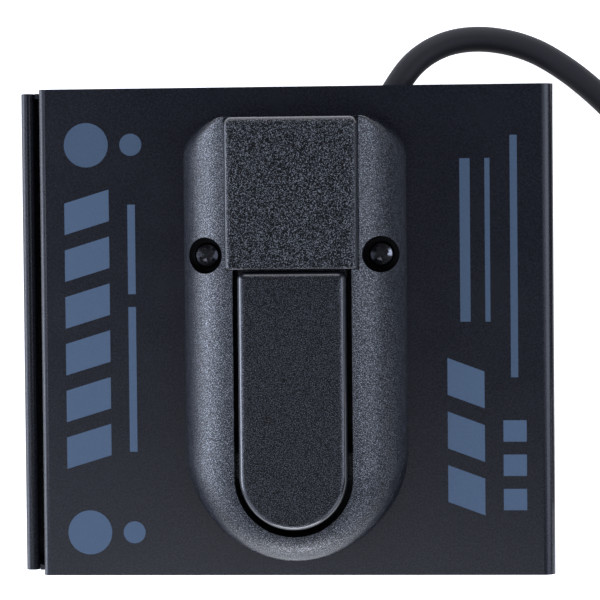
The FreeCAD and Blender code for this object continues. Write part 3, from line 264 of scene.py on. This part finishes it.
class Maker:
    """A material with one Principled shader and short calls for the nodes before it."""

    def __init__(self, name, colour, roughness, metallic=0.0, specular=0.5):
        self.material = bpy.data.materials.new(name)
        self.material.use_nodes = True
        self.nodes = self.material.node_tree.nodes
        self.links = self.material.node_tree.links
        self.shader = self.nodes["Principled BSDF"]
        self.shader.inputs["Base Color"].default_value = colour
        self.shader.inputs["Roughness"].default_value = roughness
        self.shader.inputs["Metallic"].default_value = metallic
        self.shader.inputs["Specular IOR Level"].default_value = specular
        self.place = self.nodes.new("ShaderNodeTexCoord").outputs["Object"]

    def noise(self, size_mm, detail=2.0):
        """Noise whose grain is about so many millimetres across."""
        node = self.nodes.new("ShaderNodeTexNoise")
        node.inputs["Scale"].default_value = 1 / (size_mm * MM)
        node.inputs["Detail"].default_value = detail
        self.links.new(self.place, node.inputs["Vector"])
        return node.outputs["Fac"]

    def ramp(self, value, low, high, out_low=0.0, out_high=1.0):
        node = self.nodes.new("ShaderNodeMapRange")
        node.inputs["From Min"].default_value = low
        node.inputs["From Max"].default_value = high
        node.inputs["To Min"].default_value = out_low
        node.inputs["To Max"].default_value = out_high
        self.links.new(value, node.inputs["Value"])
        return node.outputs["Result"]

    def surface_z(self, output):
        """The upward part of a vector of the surface, such as its position."""
        geometry = self.nodes.new("ShaderNodeNewGeometry")
        split = self.nodes.new("ShaderNodeSeparateXYZ")
        self.links.new(geometry.outputs[output], split.inputs["Vector"])
        return split.outputs["Z"]

    def upward(self, low, high):
        """0 on faces whose normal's upward share is below low, 1 above high."""
        return self.ramp(self.surface_z("True Normal"), low, high)

    def down_in(self, height_mm):
        """1 on level faces that lie lower than this height, 0 elsewhere."""
        start = (height_mm - HEIGHT_BLEND_MM) * MM
        low = self.ramp(self.surface_z("Position"), start, height_mm * MM, 1.0, 0.0)
        both = self.nodes.new("ShaderNodeMath")
        both.operation = "MULTIPLY"
        self.links.new(low, both.inputs[0])
        self.links.new(self.upward(LEVEL_LOW, LEVEL_HIGH), both.inputs[1])
        return both.outputs[0]

    def mixed(self, value, first, second):
        """A colour between two, each a colour or a node's output."""
        node = self.nodes.new("ShaderNodeMix")
        node.data_type = "RGBA"
        sockets = [s for s in node.inputs if s.type == "RGBA"]
        for socket, colour in zip(sockets, (first, second)):
            if isinstance(colour, bpy.types.NodeSocket):
                self.links.new(colour, socket)
            else:
                socket.default_value = colour
        self.links.new(value, node.inputs[0])
        return [s for s in node.outputs if s.type == "RGBA"][0]

    def colour_from(self, colour):
        self.links.new(colour, self.shader.inputs["Base Color"])

    def roughness_from(self, value):
        self.links.new(value, self.shader.inputs["Roughness"])

    def specular_from(self, value):
        self.links.new(value, self.shader.inputs["Specular IOR Level"])

    def tint_from(self, grain, colour, spread):
        """The colour, darker and lighter by a share of it along a grain."""
        level = self.ramp(grain, NOISE_LOW, NOISE_HIGH)
        self.colour_from(self.mixed(level, scaled(colour, 1 - spread), scaled(colour, 1 + spread)))

    def bump(self, height, depth_mm, strength=1.0, mask=None):
        node = self.nodes.new("ShaderNodeBump")
        node.inputs["Strength"].default_value = strength
        node.inputs["Distance"].default_value = depth_mm * MM
        self.links.new(height, node.inputs["Height"])
        if mask is not None:
            self.links.new(mask, node.inputs["Strength"])
        self.links.new(node.outputs["Normal"], self.shader.inputs["Normal"])


COAT_COLOUR = (0.007, 0.0073, 0.0105, 1)
COAT_ROUGHNESS = 0.26
COAT_GRAIN_MM = 0.45
COAT_WAVE_MM = 14.0


def powder_coat():
    """Satin black paint with a fine grain. Its gloss changes slowly over the sheet."""
    m = Maker("powder_coat", COAT_COLOUR, COAT_ROUGHNESS, specular=0.35)
    grain = m.noise(COAT_GRAIN_MM, detail=3.0)
    spots = m.ramp(grain, low=0.35, high=0.7)
    m.colour_from(m.mixed(spots, scaled(COAT_COLOUR, 0.7), scaled(COAT_COLOUR, 1.6)))
    wave = m.noise(COAT_WAVE_MM)
    m.roughness_from(m.ramp(wave, NOISE_LOW, NOISE_HIGH, COAT_ROUGHNESS - 0.02, COAT_ROUGHNESS + 0.02))
    m.bump(grain, depth_mm=0.02, strength=0.5)
    return m.material


# Moulded plastic: its specular level, its look where it is smooth, and the painted shade on the floors of
# the screw wells, nearly black and dull
GLOSS = 0.74
SMOOTH_COLOUR = (0.006, 0.0065, 0.0085, 1)
SMOOTH_ROUGHNESS = 0.16
# Painted shade for the screw wells' floors: colour, gloss, and the height below which it is put
WELL_SHADE_COLOUR = (0.001, 0.001, 0.0012, 1)
WELL_SHADE_GLOSS = 0.1
WELL_HEIGHT = BOX_TOP + 3.5

# Its speckles start between these noise values. At full contrast they are brighter and glossier by these
# shares, and the ground between them is duller and darker. The speckles' brightness is partly the
# plastic's grain and partly painted glints of its facets, and the darker, duller ground is partly painted
# shade in its pits
SPECK_LOW = 0.55
SPECK_HIGH = 0.61
SPECK_BRIGHTER = 5.5
SPECK_GLOSSIER = 1.2
GROUND_DULLER = 0.85


def even(level):
    """One number as a colour."""
    return (level, level, level, 1)


def moulded(name, colour, grain_mm, depth_mm, roughness, contrast, smooth=None, shade_below=None):
    """Textured plastic: a grain in its height and gloss, and speckles in its colour that are partly the
    grain and partly painted glints, on a ground that is partly painted shade. It is smooth and plain
    where a face's upward share is below the first number of smooth, and fully textured above the second.
    Level faces lower than the height given last, in millimetres, such as the screw wells' floors, get
    painted shade: nearly black and dull."""
    m = Maker(name, colour, roughness, specular=GLOSS)
    grain = m.noise(grain_mm)
    spots = m.ramp(grain, SPECK_LOW, SPECK_HIGH)
    # Speckled colour and gloss: the lighter, glossier speckles are partly painted glints, and the darker,
    # duller ground is partly painted shade
    speckled = m.mixed(spots, scaled(colour, 1 - contrast), scaled(colour, 1 + SPECK_BRIGHTER * contrast))
    dull = GLOSS * (1 - GROUND_DULLER * contrast)
    bright = GLOSS * (1 + SPECK_GLOSSIER * contrast)
    gloss = m.ramp(spots, 0.0, 1.0, dull, bright)
    if smooth is None:
        m.colour_from(speckled)
        m.specular_from(gloss)
        m.bump(grain, depth_mm)
        return m.material
    steep, level = smooth
    flat = m.upward(steep, level)
    shown = m.mixed(flat, SMOOTH_COLOUR, speckled)
    shine = m.mixed(flat, even(GLOSS), gloss)
    if shade_below is not None:
        # Painted shade: level faces down in the screw wells are made nearly black and dull
        wells = m.down_in(shade_below)
        shown = m.mixed(wells, shown, WELL_SHADE_COLOUR)
        shine = m.mixed(wells, shine, even(WELL_SHADE_GLOSS))
    m.colour_from(shown)
    m.specular_from(shine)
    m.roughness_from(m.ramp(flat, 0.0, 1.0, SMOOTH_ROUGHNESS, roughness))
    m.bump(grain, depth_mm, mask=flat)
    return m.material


def metal(name, colour, roughness):
    m = Maker(name, colour, roughness, metallic=1.0)
    grain = m.noise(0.3, detail=3.0)
    m.roughness_from(m.ramp(grain, NOISE_LOW, NOISE_HIGH, roughness * 0.8, roughness * 1.3))
    m.bump(grain, depth_mm=0.01, strength=0.3)
    return m.material


def smooth_plastic(name, colour, roughness):
    m = Maker(name, colour, roughness)
    grain = m.noise(0.8)
    m.roughness_from(m.ramp(grain, NOISE_LOW, NOISE_HIGH, roughness * 0.9, roughness * 1.15))
    m.tint_from(grain, colour, spread=0.1)
    m.bump(grain, depth_mm=0.01, strength=0.3)
    return m.material


def cord_rubber():
    colour = (0.0085, 0.0078, 0.0098, 1)
    m = Maker("cord_rubber", colour, 0.6, specular=0.3)
    grain = m.noise(0.5)
    m.tint_from(grain, colour, spread=0.15)
    m.bump(grain, depth_mm=0.015, strength=0.3)
    return m.material


def print_ink(name, colour):
    m = Maker(name, colour, 0.5)
    grain = m.noise(0.35)
    m.tint_from(grain, colour, spread=0.12)
    m.bump(grain, depth_mm=0.01, strength=0.3)
    return m.material


def assign(material, *names):
    for name in names:
        piece = NODES.get(name) or bpy.data.objects[name]
        piece.data.materials.clear()
        piece.data.materials.append(material)


def textured_plastics():
    """The housing, the block over the pivot, and the pedal."""
    housing = moulded(
        "housing_texture",
        (0.013, 0.0142, 0.0175, 1),
        grain_mm=0.18,
        depth_mm=0.05,
        roughness=0.3,
        contrast=0.82,
        smooth=(0.2, 0.4),
        shade_below=WELL_HEIGHT,
    )
    block = moulded(
        "block_texture",
        (0.0125, 0.0137, 0.0158, 1),
        grain_mm=0.2,
        depth_mm=0.13,
        roughness=0.3,
        contrast=0.95,
        smooth=(0.6, 0.85),
    )
    pedal = moulded(
        "pedal_texture",
        (0.0045, 0.0052, 0.0075, 1),
        grain_mm=0.17,
        depth_mm=0.055,
        roughness=0.33,
        contrast=0.88,
        smooth=(0.75, 0.95),
    )
    assign(housing, "pedal_housing")
    assign(block, "heel_cover")
    assign(pedal, "pedal_lever")


def plain_plastics():
    case = moulded(
        "case_plastic",
        (0.02, 0.02, 0.022, 1),
        grain_mm=0.8,
        depth_mm=0.02,
        roughness=0.5,
        contrast=0.1,
    )
    rubber = moulded(
        "black_rubber",
        (0.014, 0.014, 0.015, 1),
        grain_mm=0.5,
        depth_mm=0.02,
        roughness=0.7,
        contrast=0.15,
    )
    plug = moulded(
        "plug_rubber",
        (0.016, 0.016, 0.018, 1),
        grain_mm=0.6,
        depth_mm=0.02,
        roughness=0.5,
        contrast=0.12,
    )
    assign(case, "lower_case")
    assign(rubber, "rubber_feet", "bump_stop", "cord_gland")
    assign(plug, "plug_handle")
    assign(smooth_plastic("switch_plastic", (0.03, 0.03, 0.034, 1), 0.4), "switch_body")
    assign(smooth_plastic("plunger_plastic", (0.4, 0.05, 0.03, 1), 0.35), "switch_plunger")
    assign(smooth_plastic("clamp_nylon", (0.5, 0.5, 0.46, 1), 0.45), "clamp_base", "clamp_strap")
    assign(smooth_plastic("wire_jacket", (0.45, 0.45, 0.42, 1), 0.4), "signal_wires")
    assign(smooth_plastic("tie_plastic", even(0.018), 0.55), "coil_tie")
    assign(smooth_plastic("plug_insulator", even(0.012), 0.4), "plug_insulator")
    assign(cord_rubber(), "cord")


def metals():
    zinc = metal("zinc", (0.55, 0.56, 0.58, 1), 0.32)
    assign(powder_coat(), "top_cover", "base_pan")
    assign(metal("screw_black", (0.22, 0.22, 0.24, 1), 0.15), "housing_screws")
    assign(zinc, "cover_screws", "case_screws", "switch_screws", "clamp_screws")
    assign(metal("steel", (0.5, 0.5, 0.52, 1), 0.25), "pivot_pin", "spring_wire")
    assign(metal("brass", (0.7, 0.5, 0.22, 1), 0.3), "switch_terminals")
    assign(metal("plug_nickel", (0.72, 0.72, 0.73, 1), 0.14), "plug_sleeve", "plug_tip")


textured_plastics()
plain_plastics()
metals()


# Printing on the cover: plain bars, slanted dashes and discs, in millimetres

PRINT_Z = BOX_TOP + 0.02
PRINT_T = 0.05
INK_PALE = srgb(63, 82, 103)
INK_DEEP = srgb(55, 73, 93)
LEFT_X = -46.5
LEFT_RULE_X = -36.0
RIGHT_X = 42.0
RIGHT_RULE_X = 47.2
FAR_X = 53.3
DISC_R = 5.2
SMALL_DISC_R = 2.6
DISC_STEP = 10.5
DISC_SIDES = 40


def thin_piece(name, outlines, material):
    """One flat piece of ink from closed outlines on the cover."""
    mesh = bpy.data.meshes.new(name)
    shape = bmesh.new()
    for outline in outlines:
        corners = [shape.verts.new((x * MM, y * MM, PRINT_Z * MM)) for x, y in outline]
        face = shape.faces.new(corners)
        top = bmesh.ops.extrude_face_region(shape, geom=[face])
        moved = [v for v in top["geom"] if isinstance(v, bmesh.types.BMVert)]
        bmesh.ops.translate(shape, verts=moved, vec=(0, 0, PRINT_T * MM))
    bmesh.ops.recalc_face_normals(shape, faces=shape.faces)
    shape.to_mesh(mesh)
    shape.free()
    mesh.materials.append(material)
    piece = added(name, mesh)
    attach(piece, "base")


def bar(x, y, length, width, slant=0.0):
    """An upright bar about x, whose left side starts at y. Its ends slant."""
    left = x - width / 2
    right = x + width / 2
    return [(left, y), (right, y + slant), (right, y + length + slant), (left, y + length)]


def disc(x, y, radius):
    turns = [2 * math.pi * i / DISC_SIDES for i in range(DISC_SIDES)]
    return [(x + radius * math.cos(turn), y + radius * math.sin(turn)) for turn in turns]


def two_discs(y):
    """A large disc and a small one to the right of it."""
    return [disc(LEFT_X, y, DISC_R), disc(LEFT_X + DISC_STEP, y, SMALL_DISC_R)]


def make_printing():
    pale = print_ink("ink_pale", INK_PALE)
    deep = print_ink("ink_deep", INK_DEEP)
    left_dashes = [bar(LEFT_X, y, 7.4, 10.5, 3.2) for y in (-32.0, -21.0, -10.0, 1.0, 12.0, 23.0)]
    left_rules = [bar(LEFT_RULE_X, -28.0, 34.0, 1.8), bar(LEFT_RULE_X, 9.0, 21.0, 1.8)]
    right_dashes = [bar(RIGHT_X, y, 8.6, 8.6, -3.2) for y in (-40.0, -27.5, -15.0)]
    right_rules = [bar(RIGHT_X, 2.0, 38.0, 2.4), bar(RIGHT_RULE_X, 2.0, 38.0, 1.2)]
    far_squares = [bar(FAR_X, y, 5.0, 5.4) for y in (-42.0, -34.0, -26.0)]
    thin_piece("print_left_dashes", left_dashes, pale)
    thin_piece("print_left_rules", left_rules, pale)
    thin_piece("print_left_discs", two_discs(44.0), deep)
    thin_piece("print_lower_discs", two_discs(-47.0), pale)
    thin_piece("print_right_dashes", right_dashes, pale)
    thin_piece("print_right_rules", right_rules, deep)
    thin_piece("print_far_rule", [bar(FAR_X, -11.0, 56.3, 1.7)], deep)
    thin_piece("print_far_squares", far_squares, pale)


make_printing()


# Floor

FLOOR_HALF = 4.0
FLOOR_GREY = 0.86
FLOOR_ROUGHNESS = 0.9
FLOOR_GLOW = 0.9


def floor_white():
    """Pale, and glowing only for the camera and for what mirrors it or shows it through."""
    material = bpy.data.materials.new("floor_white")
    material.use_nodes = True
    nodes = material.node_tree.nodes
    links = material.node_tree.links
    shader = nodes["Principled BSDF"]
    shader.inputs["Base Color"].default_value = even(FLOOR_GREY)
    shader.inputs["Roughness"].default_value = FLOOR_ROUGHNESS
    shader.inputs["Specular IOR Level"].default_value = 0.0
    shader.inputs["Emission Color"].default_value = even(1)
    rays = nodes.new("ShaderNodeLightPath")
    seen = rays.outputs["Is Camera Ray"]
    for kind in ("Is Glossy Ray", "Is Transmission Ray"):
        either = nodes.new("ShaderNodeMath")
        either.operation = "ADD"
        links.new(seen, either.inputs[0])
        links.new(rays.outputs[kind], either.inputs[1])
        seen = either.outputs[0]
    level = nodes.new("ShaderNodeMath")
    level.operation = "MULTIPLY"
    level.inputs[1].default_value = FLOOR_GLOW
    links.new(seen, level.inputs[0])
    links.new(level.outputs[0], shader.inputs["Emission Strength"])
    return material


def make_floor():
    corners = [(x * FLOOR_HALF, y * FLOOR_HALF, 0) for x, y in ((-1, -1), (1, -1), (1, 1), (-1, 1))]
    mesh = bpy.data.meshes.new("floor")
    mesh.from_pydata(corners, [], [(0, 1, 2, 3)])
    mesh.materials.append(floor_white())
    floor = added("floor", mesh)


make_floor()


# Light

COOL = (0.72, 0.8, 1.0)
PALE = (0.84, 0.88, 1.0)
AIM = (0.0, 0.0, 0.02)
WORLD_COLOUR = (0.9, 0.94, 1.0, 1)
WORLD_STRENGTH = 0.03

# Each lamp's name, place, width, height, power and colour
LAMPS = (
    ("front_low", (0.0, -0.9, 0.09), 0.8, 0.16, 5.6, PALE),
    ("front_belt", (0.0, -0.85, 0.27), 0.8, 0.2, 1.1, PALE),
    ("front_mid", (-0.05, -0.8, 0.55), 0.5, 0.3, 0.8, PALE),
    ("front_top", (-0.05, -0.32, 1.0), 0.5, 0.3, 1.1, PALE),
    ("front_left", (-0.62, -0.6, 0.33), 0.5, 0.45, 2.1, COOL),
    ("front_right", (0.62, -0.6, 0.42), 0.5, 0.5, 2.8, COOL),
    ("rear_tall", (0.0, 0.8, 0.4), 0.8, 0.6, 5.0, PALE),
    ("left_low", (-0.9, 0.0, 0.13), 0.7, 0.2, 5.6, COOL),
    ("left_tall", (-0.8, 0.0, 0.43), 0.7, 0.42, 3.5, COOL),
    ("left_high", (-0.5, 0.0, 0.95), 0.4, 0.3, 1.4, COOL),
    ("right_tall", (0.8, 0.1, 0.55), 0.6, 0.6, 5.2, COOL),
    ("right_high", (0.5, 0.1, 0.95), 0.4, 0.3, 0.9, COOL),
)


def softbox(name, place, width, height, power, tint):
    data = bpy.data.lights.new(name, "AREA")
    data.shape = "RECTANGLE"
    data.size = width
    data.size_y = height
    data.energy = power
    data.color = tint
    light = added(name, data)
    light.location = place
    direction = Vector(AIM) - Vector(place)
    light.rotation_euler = direction.to_track_quat("-Z", "Y").to_euler()


def make_world():
    world = bpy.data.worlds.new("studio")
    bpy.context.scene.world = world
    world.use_nodes = True
    background = world.node_tree.nodes["Background"]
    background.inputs["Color"].default_value = WORLD_COLOUR
    background.inputs["Strength"].default_value = WORLD_STRENGTH


for lamp in LAMPS:
    softbox(*lamp)
make_world()
bpy.context.scene.view_settings.view_transform = "Standard"


bpy.context.view_layer.update()
